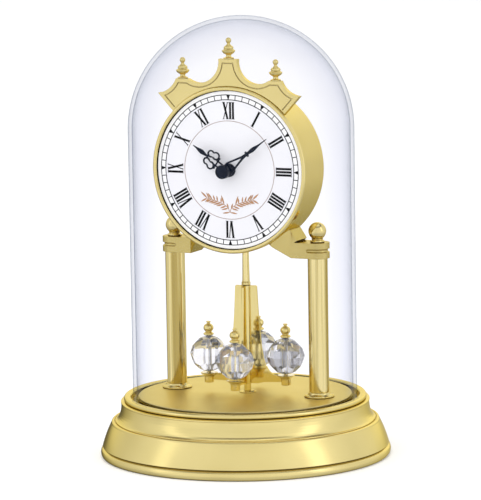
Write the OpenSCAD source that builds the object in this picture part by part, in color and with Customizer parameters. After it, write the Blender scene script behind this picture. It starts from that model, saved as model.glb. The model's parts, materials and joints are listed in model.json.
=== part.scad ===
// Anniversary clock: a round drum head on two columns, a rotating pendulum with
// four crystal balls, a stepped round base and a lift-off glass dome.
// Millimetres, +Z up, origin at the centre of the base's underside, dial facing -Y.

/* [Base] */
// Radius of the foot band, the widest part of the base
foot_r = 75.8; // [74:0.2:78]
// Thickness of the felt under the base
felt_t = 1.2; // [0.8:0.1:1.2]
// Radius of the round deck plate
deck_r = 55.6; // [54:0.2:55.8]
// Thickness of the deck plate
deck_t = 1.2; // [0.8:0.1:1.4]

/* [Glass dome] */
// Outer radius of the dome
dome_r = 58.5; // [58:0.1:58.8]
// Wall thickness of the glass
glass_t = 2.0; // [1.6:0.1:2.2]
// Overall height of the clock, to the top of the dome
total_h = 229; // [227:0.5:232]

/* [Columns] */
// Half of the distance between the two columns
column_x = 40.9; // [40.4:0.1:41.4]
// Setback of the columns and the pendulum behind the centre of the base
column_y = 3.2; // [2.8:0.1:3.4]
// Radius of a column
column_r = 5.15; // [4.8:0.05:5.4]
// Height of the underside of the brackets above the table
bracket_z = 104.5; // [104:0.1:105]
// Thickness of the bracket plates
bracket_t = 8.1; // [7.8:0.1:8.3]
// Radius of the ball on each column
ball_r = 4.6; // [4.2:0.1:4.8]

/* [Head] */
// Height of the dial's centre above the table
dial_z = 150.5; // [150.4:0.1:150.6]
// Outer radius of the drum
drum_r = 42; // [41.9:0.1:42]
// Radius of the bezel
bezel_r = 43.2; // [43:0.1:43.2]
// Radius of the dial that the bezel leaves in view
dial_view_r = 41.2; // [40.8:0.1:41.3]
// Length of the minute hand
minute_len = 29.5; // [27:0.5:32]
// Length of the hour hand
hour_len = 22.5; // [20:0.5:24]
// Time shown: minutes past the hour
minutes = 9; // [0:1:59]
// Time shown: hour
hours = 10; // [0:1:11]

/* [Pendulum] */
// Radius on which the crystal balls stand
arm_r = 21; // [20.5:0.1:21.3]
// Largest radius of a crystal ball
crystal_r = 9.5; // [9:0.1:9.6]
// Turn of the pendulum at rest, in degrees
rest_turn = 7.5; // [0:0.5:20]

/* [Hidden] */

$fn = 72;
brass = [0.86, 0.77, 0.48];
dark_blue = [0.05, 0.08, 0.13];
plastic = [0.18, 0.18, 0.19];

// Heights in the base
rim_z = 31.7;
groove_z = 28.9;
shelf_z = 30.6;
deck_top = shelf_z + deck_t;
shelf_under = 28.6;
cover_top = 2.6;
boss_place = 50;

// Depths in the head are measured forward from the columns' side of the base centre,
// in the head's own frame: x to the right, y up, z forward out of the dial.
dial_back = 14.2;
dial_front = 15.0;
drum_back = -10.6;
drum_t = 1.4;
cover_in = -9.0;
bezel_back = 12.05;
bezel_front = 16.8;
movement_split = 8.5;
cell_y = -18.45;
cell_z = 4.4;
case_x = 27.2;
case_top = 25;
case_bottom = -27.2;

// Gears of the motion work: arbor to minute wheel, and its pinion to the hour wheel
motion_mod = 0.5;
arbor_teeth = 10;
minute_teeth = 30;
minute_pinion = 8;
hour_teeth = 32;
minute_at = [0, 10];
knob_angle = -20;
knob_at = minute_at + 10 * [cos(knob_angle), sin(knob_angle)];

// Gears of the drive, from the rotor to the centre wheel
train_mod = 0.3;
pinion_teeth = 8;
intermediate_teeth = 40;
seconds_teeth = 48;
third_teeth = 60;
centre_teeth = 64;
third_angle = 160;
seconds_angle = 80;
intermediate_angle = 10;
rotor_angle = 0;

function spacing(teeth) = (teeth + pinion_teeth) * train_mod / 2;
function step_from(from, angle, dist) = from + dist * [cos(angle), sin(angle)];
third_at = step_from([0, 0], third_angle, spacing(centre_teeth));
seconds_at = step_from(third_at, seconds_angle, spacing(third_teeth));
intermediate_at = step_from(seconds_at, intermediate_angle, spacing(seconds_teeth));
rotor_at = step_from(intermediate_at, rotor_angle, spacing(intermediate_teeth));

// Crest outline, about the dial's centre
crest_back = 12;
crest_front = 15.2;
crest_top = 57.2;
crest_side = 46.6;
scoop_c = [16.5, 55.97];
scoop_r = 11.37;
ear_c = [40.76, 50.96];
ear_r = 12;
ear_tip = [40, 39];
ear_dir = [-0.673, -0.739];
ear_in = [-0.739, 0.673];
crest_low = bezel_r + 0.1;
finial_x = 26.3;

// Heights on the pendulum
fins_top = 88.2;
fins_low = 36.6;
crystal_low = 41.6;
crystal_top = 61.4;
arm_end = 19.5;
post_r = 2.5;
spindle_r = 1.8;

// ---------------------------------------------------------------- helpers

// Points along an ellipse's arc
function arc(c, rx, ry, a0, a1, n) =
    [for (i = [0:n]) let (a = a0 + (a1 - a0) * i / n) [c[0] + rx * cos(a), c[1] + ry * sin(a)]];

// Involute teeth: angle from a tooth's middle to its flank at radius rho
function inv(a) = tan(a) * 180 / PI - a;
function flank(teeth, mod, rho) =
    let (r = teeth * mod / 2, base = r * cos(20), thin = 0.15 * mod / r * 180 / PI)
    90 / teeth - thin + inv(20) - inv(acos(base / max(rho, base)));

function polar(r, a) = [r * cos(a), r * sin(a)];

module gear_outline(teeth, mod, turn) {
    r = teeth * mod / 2;
    root = r - 1.25 * mod;
    tip = r + 0.75 * mod;
    polygon([for (k = [0:teeth - 1]) let (a = turn + k * 360 / teeth)
        for (p = [[root, -1], [r, -1], [tip, -1], [tip, 1], [r, 1], [root, 1]])
            polar(p[0], a + p[1] * flank(teeth, mod, p[0]))]);
}

// A spur gear between two depths, with a tooth's middle at the angle turn
module gear(teeth, mod, z0, z1, turn) {
    translate([0, 0, z0]) linear_extrude(z1 - z0) gear_outline(teeth, mod, turn);
}

// Turn that puts a gap of a wheel on the line to its driver
function gap_turn(angle, teeth) = angle + 180 + 180 / teeth;

// A plain round shaft between two depths
module shaft(r, z0, z1) {
    translate([0, 0, z0]) cylinder(r = r, h = z1 - z0);
}

// A block from its lowest to its highest corner
module block(lo, hi) {
    translate(lo) cube(hi - lo);
}

// The head's frame: x right, y up and z forward, from the dial's centre line
module facing() {
    translate([0, 0, dial_z]) rotate([90, 0, 0]) children();
}

// Both columns' places
module at_columns() {
    for (s = [-1, 1]) translate([s * column_x, column_y, 0]) children();
}

// The pendulum's axis, turned to its rest
module on_pendulum() {
    translate([0, column_y, 0]) rotate([0, 0, rest_turn]) children();
}

// The four crystals' places
module at_crystals() {
    on_pendulum() for (k = [0:3]) rotate([0, 0, 90 * k]) translate([arm_r, 0, 0]) children();
}

// ---------------------------------------------------------------- base

base_outside = concat(
    [[0, shelf_z], [56.1, shelf_z], [56.1, groove_z], [59.4, groove_z], [59.5, rim_z - 0.8],
     [60.0, rim_z - 0.2]],
    arc([62.0, 30.4], 1.3, 1.3, 90, -60, 8),
    [[63.9, 29.1], [64.9, 28.8], [64.9, 28.2]],
    [for (t = [0:11:88]) [68.0 - 3.3 * cos(t), 28.0 - 8.9 * sin(t)]],
    [[68.0, 18.5], [68.4, 18.5], [68.6, 18.8]],
    arc([69.0, 17.8], 1.05, 1.0, 90, 0, 4),
    [for (t = [0.9:-0.1:0]) [foot_r - 1.0 - 3.3 * t - 1.45 * t * t, 5.6 + 12.2 * t]],
    [[foot_r - 1.9, 5.2]],
    arc([foot_r - 1.5, 2.4], 1.5, 2.3, 80, -80, 8),
    [[foot_r - 1.6, 0]]);
base_inside = [[71.6, 0], [71.6, cover_top], [70.2, cover_top], [70.2, 8], [67.4, 17], [63.4, 20.8],
    [62.2, 27.0], [54.3, 27.0], [54.3, shelf_under], [0, shelf_under]];

// Stepped brass shell with the dome's groove, open below
module base_shell() {
    color(brass) difference() {
        union() {
            rotate_extrude($fn = 120) polygon(concat(base_outside, base_inside));
            for (a = [45:90:315]) rotate([0, 0, a])
                translate([boss_place, 0, 0]) shaft(3.5, cover_top, shelf_z - 1);
        }
        at_columns() shaft(2.1, shelf_under - 1, shelf_z + 1);
        translate([0, column_y, 0]) shaft(2.5, shelf_under - 1, shelf_z + 1);
        for (a = [45:90:315]) rotate([0, 0, a])
            translate([boss_place, 0, 0]) shaft(1.0, cover_top - 1, 14);
    }
}

// Plate that closes the base from below
module base_cover() {
    color(plastic) difference() {
        shaft(71.4, felt_t, cover_top);
        for (a = [45:90:315]) rotate([0, 0, a]) translate([boss_place, 0, 0]) {
            shaft(1.2, felt_t - 1, cover_top + 1);
            shaft(2.6, felt_t - 1, felt_t + 0.7);
        }
    }
}

// Felt on which the clock stands
module felt_pad() {
    color([0.1, 0.25, 0.18]) shaft(71.4, 0, felt_t);
}

// Four screws that hold the cover in the shell's bosses
module cover_screws() {
    color("silver") for (a = [45:90:315]) rotate([0, 0, a]) translate([boss_place, 0, 0]) {
        shaft(2.5, felt_t, felt_t + 0.7);
        shaft(0.95, felt_t + 0.5, 12);
    }
}

// Polished disc inside the dome
module deck_plate() {
    color(brass) difference() {
        rotate_extrude($fn = 120) polygon([[0, shelf_z], [deck_r, shelf_z],
            [deck_r, deck_top - 0.3], [deck_r - 0.3, deck_top], [0, deck_top]]);
        at_columns() shaft(2.1, shelf_z - 1, deck_top + 1);
        translate([0, column_y, 0]) shaft(2.5, shelf_z - 1, deck_top + 1);
    }
}

// Flanged bush in the deck that guides the pendulum's lower end
module guide_bush() {
    color(brass) translate([0, column_y, 0]) rotate_extrude()
        polygon([[1.9, shelf_under], [2.45, shelf_under], [2.45, deck_top], [4.4, deck_top],
            [4.4, deck_top + 0.4], [3.0, deck_top + 0.9], [1.9, deck_top + 0.9]]);
}

// ---------------------------------------------------------------- columns

module column() {
    difference() {
        shaft(column_r, deck_top, bracket_z);
        shaft(3, deck_top - 1, bracket_z + 1);
    }
}

// Flared rosette round a column's foot
module column_foot() {
    rotate_extrude() polygon([[column_r + 0.04, deck_top], [7.5, deck_top], [7.75, deck_top + 0.35],
        [7.75, deck_top + 0.75], [7.4, deck_top + 1.15], [6.6, deck_top + 1.3],
        [column_r + 0.75, deck_top + 1.8], [column_r + 0.5, deck_top + 2.5],
        [column_r + 0.04, deck_top + 2.7]]);
}

module column_left() { color(brass) translate([-column_x, column_y, 0]) column(); }
module column_right() { color(brass) translate([column_x, column_y, 0]) column(); }
module column_foot_left() { color(brass) translate([-column_x, column_y, 0]) column_foot(); }
module column_foot_right() { color(brass) translate([column_x, column_y, 0]) column_foot(); }

// Rods that clamp each column between its ball and the base
module tie_rods() {
    color("silver") at_columns() shaft(1.98, 23.5, bracket_z + 12.8);
}

module rod_nuts() {
    color("silver") at_columns() difference() {
        translate([0, 0, 25.4]) cylinder(r = 4.04, h = shelf_under - 25.4, $fn = 6);
        shaft(2.0, 25, shelf_under + 1);
    }
}

// Outline of a bracket seen from the front: plate, gusset and saddle
bracket_top = bracket_z + bracket_t;
bracket_front = [[column_x, bracket_z], [28.7, bracket_z], [18, 114.9], [25.9, 122.6],
    [31.9, bracket_top + 1], [30.6, bracket_top], [column_x, bracket_top]];

// Outline of a bracket seen from above
bracket_end_r = 6.3;
front_y = column_y - bracket_end_r;
back_y = column_y + bracket_end_r;
bracket_plan = [[column_x, front_y], [28.7, front_y], [21.8, -12], [15, -12], [15, 10.4],
    [31, 10.4], [33.5, back_y], [column_x, back_y]];

// Half-round groove about the plate's outer end
module bracket_groove() {
    slot_r = 0.95;
    slot_x = 2.6;
    translate([0, 0, bracket_z + bracket_t / 2]) {
        rotate([0, 0, -90]) rotate_extrude(angle = 180)
            translate([bracket_end_r, 0]) circle(slot_r, $fn = 24);
        for (s = [-1, 1]) translate([0, s * bracket_end_r, 0]) {
            rotate([0, -90, 0]) cylinder(r = slot_r, h = slot_x, $fn = 24);
            translate([-slot_x, 0, 0]) sphere(slot_r, $fn = 24);
        }
    }
}

// Right-hand bracket: a round-ended plate on the column, a gusset and the drum's saddle
module bracket() {
    difference() {
        union() {
            intersection() {
                translate([0, 20, 0]) rotate([90, 0, 0]) linear_extrude(40) polygon(bracket_front);
                translate([0, 0, 95]) linear_extrude(40) polygon(bracket_plan);
            }
            translate([column_x, column_y, 0]) shaft(bracket_end_r, bracket_z, bracket_top);
        }
        facing() shaft(drum_r + 0.02, -20, 20);
        translate([column_x, column_y, 0]) {
            shaft(2.1, bracket_z - 1, bracket_top + 1);
            bracket_groove();
        }
        saddle_axis() shaft(1.25, drum_r - 3, drum_r + 4.5);
    }
}

// Radial line through a saddle, with its own z pointing out of the drum
saddle_turn = 34;
module saddle_axis() {
    translate([0, 3.5, dial_z]) rotate([0, 180 - saddle_turn, 0]) children();
}

module bracket_right() { color(brass) bracket(); }
module bracket_left() { color(brass) mirror([1, 0, 0]) bracket(); }

// Screws from inside the drum into both saddles
module bracket_screws() {
    color("silver") for (s = [0, 1]) mirror([s, 0, 0]) saddle_axis() {
        shaft(1.2, drum_r - 2.5, drum_r + 4.2);
        shaft(2.2, drum_r - 3.2, drum_r - drum_t - 0.1);
    }
}

// Ball and turned collar, in one piece, that screws on to the tie rod
module ball_finial() {
    ball_z = bracket_top + 5.8;
    difference() {
        union() {
            rotate_extrude() polygon([[0, bracket_top], [3.5, bracket_top], [3.75, bracket_top + 0.5],
                [3.5, bracket_top + 1.0], [3.0, bracket_top + 1.2], [2.8, bracket_top + 1.5],
                [3.1, bracket_top + 1.9], [2.4, bracket_top + 2.3], [0, bracket_top + 3]]);
            translate([0, 0, ball_z]) sphere(ball_r);
        }
        shaft(2.0, bracket_top - 1, bracket_top + 4.9);
    }
}

module ball_finial_left() { color(brass) translate([-column_x, column_y, 0]) ball_finial(); }
module ball_finial_right() { color(brass) translate([column_x, column_y, 0]) ball_finial(); }

// ---------------------------------------------------------------- head

rear_screw_place = 38.4;
rear_screw_angles = [20, 160, 200, 340];
crest_screw_turn = 25;
crest_screw_z = 10.4;

// Radial line through the crest's rib
module crest_axis(s) {
    translate([0, 0, crest_screw_z]) rotate([0, 0, 90 + s * crest_screw_turn])
        rotate([0, 90, 0]) children();
}

// Round drum, open in front, with a ledge for the rear cover
module drum_case() {
    inner = drum_r - drum_t;
    color(brass) difference() {
        union() {
            facing() rotate_extrude($fn = 120) polygon([[drum_r - 0.5, drum_back],
                [drum_r, drum_back + 0.5], [drum_r, dial_back], [inner, dial_back],
                [inner, cover_in + 1], [inner - 1, cover_in + 1], [inner - 1, cover_in],
                [inner, cover_in], [inner, drum_back]]);
            facing() for (a = rear_screw_angles) rotate([0, 0, a])
                translate([rear_screw_place, 0, 0]) shaft(2.8, cover_in + 0.5, cover_in + 4.6);
        }
        facing() {
            for (a = rear_screw_angles) rotate([0, 0, a])
                translate([rear_screw_place, 0, 0]) shaft(0.9, cover_in - 1, cover_in + 4);
            for (s = [-1, 1]) crest_axis(s) shaft(1.0, drum_r - 4, drum_r + 4);
        }
        for (s = [0, 1]) mirror([s, 0, 0]) saddle_axis() shaft(1.3, drum_r - 4, drum_r + 4);
        translate([0, column_y, 0]) shaft(2.8, dial_z - drum_r - 2, dial_z - drum_r + 6);
    }
}

// Rounded ring that holds the dial in the drum
module bezel() {
    color(brass) facing() rotate_extrude($fn = 120) polygon(concat(
        [[drum_r + 0.05, bezel_back], [bezel_r - 0.2, bezel_back], [bezel_r, bezel_back + 0.3]],
        arc([bezel_r - 1, bezel_front - 1], 1, 1, 0, 90, 6),
        arc([dial_view_r + 0.5, bezel_front - 0.5], 0.5, 0.5, 90, 180, 4),
        [[dial_view_r, dial_front], [drum_r + 0.05, dial_front]]));
}

// White dial with a hole for the hands
module dial_plate() {
    color("white") facing() difference() {
        shaft(drum_r - 0.3, dial_back, dial_front);
        shaft(2.65, dial_back - 1, dial_front + 1);
    }
}

// Where a line from p along u meets a circle, on the near or the far side
function meet(p, u, c, r, side) =
    let (w = p - c, b = u * w) p + u * (side * sqrt(b * b - w * w + r * r) - b);

// Right half of the crest's outline, set in by d, down to a corner at the radius low_r
function crest_half(d, low_r) =
    let (start = 180 - asin((crest_top - d - scoop_c[1]) / (scoop_r + d)),
         end = 360 + asin((crest_side - d - scoop_c[1]) / (scoop_r + d)),
         ear_start = 180 - asin((crest_side - d - ear_c[1]) / (ear_r + d)),
         tip = meet(ear_tip + d * ear_in, ear_dir, ear_c, ear_r + d, 1),
         ear_end = 360 + atan2(tip[1] - ear_c[1], tip[0] - ear_c[0]),
         corner = meet(ear_tip + d * ear_in, ear_dir, [0, 0], low_r, -1))
    concat(arc(scoop_c, scoop_r + d, scoop_r + d, start, end, 14),
           arc(ear_c, ear_r + d, ear_r + d, ear_start, ear_end, 8), [corner]);

// Full outline of the crest set in by d, closed by an arc of radius low_r round the bezel
module crest_outline(d, low_r) {
    half = crest_half(d, low_r);
    n = len(half) - 1;
    low = atan2(half[n][1], half[n][0]);
    polygon(concat(half, arc([0, 0], low_r, low_r, low + 3, 177 - low, 24),
        [for (i = [n:-1:0]) [-half[i][0], half[i][1]]]));
}

// Scalloped crest with a bordering groove, and a rib behind that screws to the drum
module crest_plate() {
    color(brass) facing() difference() {
        union() {
            translate([0, 0, crest_back]) linear_extrude(crest_front - crest_back) crest_outline(0, crest_low);
            translate([0, 0, 8.8]) linear_extrude(crest_back - 8.8) intersection() {
                difference() {
                    circle(45.3, $fn = 120);
                    circle(drum_r + 0.02, $fn = 120);
                }
                polygon([[0, 0], [31, 48], [-31, 48]]);
            }
        }
        translate([0, 0, crest_front - 0.45]) linear_extrude(1) difference() {
            crest_outline(1.9, crest_low + 0.8);
            crest_outline(2.5, crest_low + 0.4);
        }
        for (s = [-1, 1]) crest_axis(s) shaft(0.9, drum_r - 1, drum_r + 3.5);
        for (x = [-finial_x, 0, finial_x]) translate([x, x == 0 ? crest_top : crest_side, 13.6])
            rotate([90, 0, 0]) shaft(0.82, -1, 3.2);
    }
}

// Turned finial with a peg, standing on z = 0
module crest_finial() {
    rotate_extrude() polygon(concat(
        [[0, -3], [0.8, -3], [0.8, 0], [2.6, 0], [2.75, 0.35], [2.5, 0.7], [1.6, 0.95], [1.3, 1.5],
         [1.35, 2.1], [1.9, 2.5], [2.5, 2.8], [3.1, 3.4]],
        arc([2.9, 4.1], 0.55, 0.5, -60, 60, 4),
        [[2.6, 4.8], [2.35, 5.2], [2.55, 5.7], [2.3, 6.3], [1.5, 6.9], [0.95, 7.5], [0.75, 8.0],
         [0.95, 8.3]],
        arc([0, 9.5], 1.45, 1.45, -50, 90, 9)));
}

module crest_finial_at(x, y) {
    color(brass) translate([x, -13.6, dial_z + y]) crest_finial();
}

module crest_finial_left() { crest_finial_at(-finial_x, crest_side); }
module crest_finial_centre() { crest_finial_at(0, crest_top); }
module crest_finial_right() { crest_finial_at(finial_x, crest_side); }

// Screws from inside the drum into the crest's rib
module crest_screws() {
    color("silver") facing() for (s = [-1, 1]) crest_axis(s) {
        shaft(0.85, drum_r - 2.5, drum_r + 3.2);
        shaft(2.0, drum_r - 3.2, drum_r - drum_t - 0.1);
    }
}

// Rear cover with a window for the cell and the setting knob
module rear_cover() {
    color(brass) facing() difference() {
        shaft(drum_r - drum_t - 0.1, drum_back, cover_in);
        block([-26.2, -26, drum_back - 1], [26.2, 14, cover_in + 1]);
        for (a = rear_screw_angles) rotate([0, 0, a])
            translate([rear_screw_place, 0, 0]) shaft(1.1, drum_back - 1, cover_in + 1);
    }
}

module rear_screws() {
    color("silver") facing() for (a = rear_screw_angles) rotate([0, 0, a])
        translate([rear_screw_place, 0, 0]) {
            shaft(0.85, drum_back - 0.3, cover_in + 3.6);
            shaft(1.9, drum_back - 0.9, drum_back);
        }
}

// ---------------------------------------------------------------- movement

cavity_x = case_x - 1.6;
cavity_top = case_top - 1.4;
wall_y = -10.1;
bay_top = -11;
plate_x = 26.2;
plate_low = -10.4;
plate_high = 24.2;
plate_front = 9.3;
bay_bottom = -25.9;
bay_x = 26;
pipe_bore = 1.75;

// Front half of the plastic movement case, with the threaded bush through the dial
module movement_front() {
    color(plastic) facing() {
        difference() {
            union() {
                block([-case_x, case_bottom, movement_split], [case_x, case_top, dial_back]);
                shaft(2.6, dial_back - 1, 16.4);
            }
            block([-cavity_x, wall_y, movement_split - 1], [cavity_x, cavity_top, 13]);
            block([-plate_x - 0.1, plate_low - 0.1, movement_split - 1],
                [plate_x + 0.1, plate_high + 0.1, plate_front]);
            block([-bay_x, bay_bottom, movement_split - 1], [bay_x, bay_top, 12]);
            shaft(pipe_bore, 12, 18);
        }
        translate(minute_at) shaft(0.6, 9.4, 13.5);
    }
}

// Rear half of the case: train chamber above, open cell bay below
module movement_rear() {
    color(plastic) facing() {
        movement_shell();
        for (p = [[20, 10.8], [20, 20.4], [5.4, 20.5]]) translate(p) shaft(1.0, 0.8, 5.0);
    }
}

module movement_shell() {
    difference() {
        union() {
            block([-case_x, bay_top, -0.4], [case_x, case_top, movement_split]);
            block([-case_x, case_bottom, -3.8], [case_x, wall_y, movement_split]);
        }
        block([-cavity_x, wall_y, 0.9], [cavity_x, cavity_top, movement_split + 1]);
        block([-bay_x, bay_bottom, -5], [bay_x, bay_top, movement_split + 1]);
        for (p = [third_at, seconds_at, intermediate_at, rotor_at])
            translate(p) shaft(0.55, 0.1, 2);
        shaft(1.06, 0.1, 2);
        translate(knob_at) shaft(0.96, -1, 2);
    }
}

// Plate between the motion work and the drive train
module middle_plate() {
    color("silver") facing() difference() {
        block([-plate_x, plate_low, movement_split], [plate_x, plate_high, plate_front]);
        for (p = [third_at, seconds_at, intermediate_at, rotor_at])
            translate(p) shaft(0.55, movement_split - 1, 10);
        shaft(1.3, movement_split - 1, 10);
        translate(knob_at) shaft(0.96, movement_split - 1, 10);
    }
}

// Round nut on the bush, in front of the dial
module mounting_nut() {
    color(dark_blue) facing() difference() {
        shaft(3.5, dial_front, 16.3);
        shaft(2.62, dial_front - 1, 17);
    }
}

module circuit_board() {
    color("darkgreen") facing() {
        block([12.4, -8.6, 6.0], [cavity_x, 7.2, 6.8]);
        translate([18.8, -4.6, 0]) shaft(2.4, 6.8, 7.8);
    }
}

module quartz_can() {
    color("silver") facing() translate([22.6, -3.2, 4.5]) rotate([-90, 0, 0])
        cylinder(r = 1.5, h = 6.2);
}

// Stator of the stepping motor: two legs joined by the coil's core
module stator() {
    color("gray") facing() difference() {
        union() {
            block([4, 9.6, 5.0], [22, 21.6, 5.8]);
            block([18.8, 9.6, 5.8], [21.2, 21.6, 6.6]);
        }
        block([12, 12.4, 4], [18.8, 18.8, 5.8]);
        block([18, 12.4, 4], [23, 18.8, 5.8]);
        translate(rotor_at) shaft(2.6, 4, 7);
    }
}

// Wound coil on the stator's core
module drive_coil() {
    color("peru") facing() difference() {
        translate([20, 12.6, 6.2]) rotate([-90, 0, 0]) cylinder(r = 2.1, h = 6);
        block([18.75, 12, 5.0], [21.25, 19, 6.65]);
    }
}

// Spring contacts at both ends of the cell bay
module battery_contacts() {
    color("silver") facing() for (s = [-1, 1])
        translate([s * (bay_x - 0.2), 0, 0]) block([-0.2, -23.4, -0.5], [0.2, -13.5, 9.3]);
}

// Magnet and pinion of the stepping motor
module rotor() {
    color("dimgray") facing() translate(rotor_at) {
        shaft(0.5, 0.25, 9.1);
        shaft(2.2, 4.4, 6.2);
        gear(pinion_teeth, train_mod, 2.9, 4.0, rotor_angle + 180);
    }
}

// A wheel with its pinion on one arbor: the wheel is driven, the pinion drives the next
module train_wheel(teeth, wheel_z, pinion_z, wheel_turn, pinion_turn) {
    shaft(0.5, 0.25, 9.1);
    gear(teeth, train_mod, wheel_z, wheel_z + 0.6, wheel_turn);
    gear(pinion_teeth, train_mod, pinion_z[0], pinion_z[1], pinion_turn);
}

module intermediate_wheel() {
    color("white") facing() translate(intermediate_at)
        train_wheel(intermediate_teeth, 3.2, [3.5, 5.4],
            gap_turn(rotor_angle + 180, intermediate_teeth), intermediate_angle + 180);
}

module seconds_wheel() {
    color("ivory") facing() translate(seconds_at)
        train_wheel(seconds_teeth, 4.5, [4.8, 6.9],
            gap_turn(intermediate_angle + 180, seconds_teeth), seconds_angle + 180);
}

module third_wheel() {
    color("white") facing() translate(third_at)
        train_wheel(third_teeth, 6.0, [6.3, 8.2],
            gap_turn(seconds_angle + 180, third_teeth), third_angle + 180);
}

// Wheel that turns the minute arbor through a friction fit
module centre_wheel() {
    color("ivory") facing() difference() {
        union() {
            gear(centre_teeth, train_mod, 7.4, 8.0, gap_turn(third_angle + 180, centre_teeth));
            shaft(2.0, 6.8, 8.2);
        }
        shaft(1.05, 6, 9);
    }
}

// Arbor of the minute hand with the pinion of the motion work
module minute_arbor() {
    color("silver") facing() {
        shaft(1.0, 0.25, 22.8);
        gear(arbor_teeth, motion_mod, 9.6, 11.6, 90);
    }
}

wheel_turn = gap_turn(90, minute_teeth);

// Minute wheel with the pinion that turns the hour wheel
module minute_wheel() {
    color("ivory") facing() translate(minute_at) difference() {
        union() {
            gear(minute_teeth, motion_mod, 9.9, 10.8, wheel_turn);
            gear(minute_pinion, motion_mod, 10.5, 12.8, 270);
        }
        shaft(0.65, 9, 14);
    }
}

// Hour wheel with the pipe that carries the hour hand
module hour_wheel() {
    color("ivory") facing() difference() {
        union() {
            gear(hour_teeth, motion_mod, 11.9, 12.8, gap_turn(270, hour_teeth));
            shaft(1.7, 12.4, 19.4);
        }
        shaft(1.05, 11, 20);
    }
}

// Knob at the back whose pinion turns the minute wheel
module setting_knob() {
    color(plastic) facing() translate(knob_at) {
        shaft(0.9, -1, 12.8);
        gear(arbor_teeth, motion_mod, 9.8, 11.0,
            knob_angle + 180 + 180 / arbor_teeth - (wheel_turn - knob_angle) * minute_teeth / arbor_teeth);
        difference() {
            shaft(5, -3.6, -0.7);
            for (a = [0:20:340]) rotate([0, 0, a]) translate([5.25, 0, 0]) shaft(0.6, -4, 0);
        }
    }
}

// ---------------------------------------------------------------- hands and cell

minute_angle = 6 * minutes;
hour_angle = 30 * (hours + minutes / 60);

// Open-worked hour hand: two legs, a bar, a pair of kidney loops and a leaf
module hour_hand() {
    color(dark_blue) facing() {
        rotate([0, 0, -hour_angle]) translate([0, 0, 18.5]) linear_extrude(0.45) difference() {
            union() {
                circle(3.4);
                for (s = [-1, 1]) {
                    polygon([[s * 0.9, 2.6], [s * 1.75, 2.6], [s * 1.65, 7.4], [s * 0.95, 7.4]]);
                    translate([s * 2.9, 6.5]) circle(0.5, $fn = 24);
                    translate([s * 2.9, 8.9]) circle(2.2, $fn = 40);
                    translate([s * 2.25, 11.9]) circle(2.0, $fn = 40);
                }
                polygon([[-2.9, 6.15], [2.9, 6.15], [2.9, 6.85], [-2.9, 6.85]]);
                polygon([[-0.45, 12.2], [0.45, 12.2], [0.6, 14.0], [1.2, 16.6], [1.05, 17.8],
                    [0.4, 20.4], [0.18, hour_len], [-0.18, hour_len], [-0.4, 20.4],
                    [-1.05, 17.8], [-1.2, 16.6], [-0.6, 14.0]]);
            }
            circle(1.7);
            for (s = [-1, 1]) {
                translate([s * 2.95, 8.95]) circle(1.4, $fn = 32);
                translate([s * 2.3, 11.85]) circle(1.2, $fn = 32);
                polygon([[s * 1.75, 9.4], [s * 3.9, 9.6], [s * 3.1, 11.5], [s * 1.3, 11.2]]);
            }
        }
        difference() {
            shaft(2.4, 17.3, 19.2);
            shaft(1.7, 17, 20);
        }
    }
}

// Minute hand: a forked stem, a cross collar and a long leaf
module minute_hand() {
    color(dark_blue) facing() {
        rotate([0, 0, -minute_angle]) translate([0, 0, 20.8]) linear_extrude(0.45) difference() {
            union() {
                circle(3.4);
                polygon([[-3.0, 4.0], [-2.6, 1.5], [2.6, 1.5], [3.0, 4.0], [1.0, 12.4], [0.75, 15.2],
                    [1.5, 15.4], [1.5, 16.2], [0.7, 16.5], [1.1, 19.6], [0.95, 21.2], [0.45, 24.0],
                    [0.15, minute_len], [-0.15, minute_len], [-0.45, 24.0], [-0.95, 21.2],
                    [-1.1, 19.6], [-0.7, 16.5], [-1.5, 16.2], [-1.5, 15.4], [-0.75, 15.2],
                    [-1.0, 12.4]]);
            }
            circle(1.0);
            polygon([[-2.0, 4.2], [2.0, 4.2], [0.12, 11.6], [-0.12, 11.6]]);
        }
        difference() {
            shaft(2.2, 20.0, 21.7);
            shaft(1.0, 19, 22);
        }
    }
}

// Round cap that ends the hands' stack
module hand_cap() {
    color(dark_blue) facing() difference() {
        rotate_extrude() polygon(concat([[0, 21.7], [3.6, 21.7]],
            arc([2.8, 24.2], 0.8, 0.9, 0, 70, 4), [[1.8, 25.3], [0, 25.4]]));
        shaft(1.0, 21, 22.8);
    }
}

// Cell with its raised terminal
module battery() {
    color("darkorange") facing() translate([-25.25, cell_y, cell_z]) rotate([0, 90, 0]) {
        cylinder(r = 7.1, h = 49.5);
        cylinder(r = 2.7, h = 50.5);
    }
}

// ---------------------------------------------------------------- pendulum

bearing_z = dial_z - 38.4;

// Small box under the movement that drives the pendulum
module pendulum_housing() {
    top = dial_z + case_bottom;
    color(plastic) translate([0, column_y, 0]) difference() {
        block([-9, -5.5, bearing_z], [9, 5.5, top]);
        block([-7.8, -4.3, bearing_z + 1.4], [7.8, 4.3, top - 1.2]);
        shaft(2.5, bearing_z - 1, bearing_z + 2);
    }
}

// Bearing that carries the pendulum's weight under its magnet
module pendulum_bearing() {
    color("gold") translate([0, column_y, 0]) difference() {
        union() {
            shaft(2.48, bearing_z, bearing_z + 1.4);
            shaft(3.4, bearing_z + 1.4, bearing_z + 1.9);
        }
        shaft(1.28, bearing_z - 1, bearing_z + 3);
    }
}

module pendulum_coil() {
    color("peru") translate([0, column_y, 0]) difference() {
        shaft(3.9, bearing_z + 5.6, dial_z + case_bottom - 1.2);
        shaft(1.3, bearing_z + 5, dial_z);
    }
}

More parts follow.
